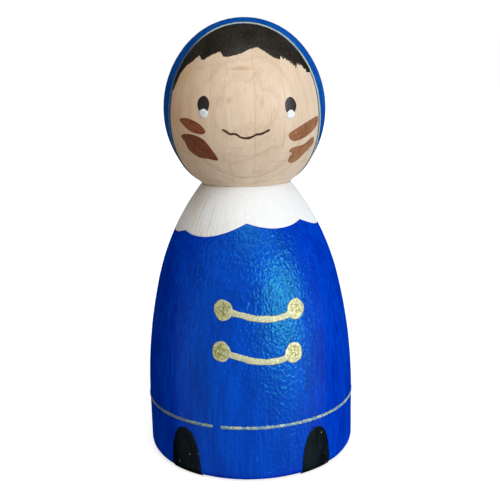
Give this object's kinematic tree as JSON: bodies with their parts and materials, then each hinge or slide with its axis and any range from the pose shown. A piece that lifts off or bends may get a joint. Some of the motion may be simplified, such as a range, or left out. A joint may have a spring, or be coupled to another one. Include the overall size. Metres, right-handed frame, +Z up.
{
  "type": "peg doll",
  "caption": "Turned wooden peg doll with a round head, neck groove and flared body, painted in a hooded coat; stands on a flat base.",
  "frame": {"origin": "centre of the flat base, on the surface the doll stands on", "axes": "+Z up along the turning axis, -Y out of the face, +X to the doll's left as it looks along -Y"},
  "size_m": [0.0446, 0.0446, 0.09],
  "materials": {
    "beech": "bare sanded beech with fine flecks",
    "coat_blue": "blue acrylic paint under gloss varnish",
    "collar_white": "white acrylic paint under varnish",
    "hood_blue": "blue acrylic paint, satin",
    "gold_pen": "granular gold paint pen",
    "hair_black": "brushed black-brown acrylic",
    "line_black": "black paint, satin",
    "line_brown": "dark brown fine pen",
    "cheek_brown": "thin brown acrylic brush strokes",
    "glint_white": "white paint dots"
  },
  "bodies": {
    "root": {"wood_blank": "beech", "coat_paint": "coat_blue", "collar_paint": "collar_white", "hood_paint": "hood_blue", "hood_trim": "gold_pen", "hair_paint": "hair_black", "left_eye": "line_black", "right_eye": "line_black", "left_eye_glint": "glint_white", "right_eye_glint": "glint_white", "mouth_line": "line_brown", "left_upper_cheek": "cheek_brown", "left_lower_cheek": "cheek_brown", "right_upper_cheek": "cheek_brown", "right_lower_cheek": "cheek_brown", "upper_frog_cord": "gold_pen", "upper_left_button": "gold_pen", "upper_right_button": "gold_pen", "lower_frog_cord": "gold_pen", "lower_left_button": "gold_pen", "lower_right_button": "gold_pen", "hem_line": "gold_pen", "left_boot": "line_black", "right_boot": "line_black"}
  },
  "joints": []
}
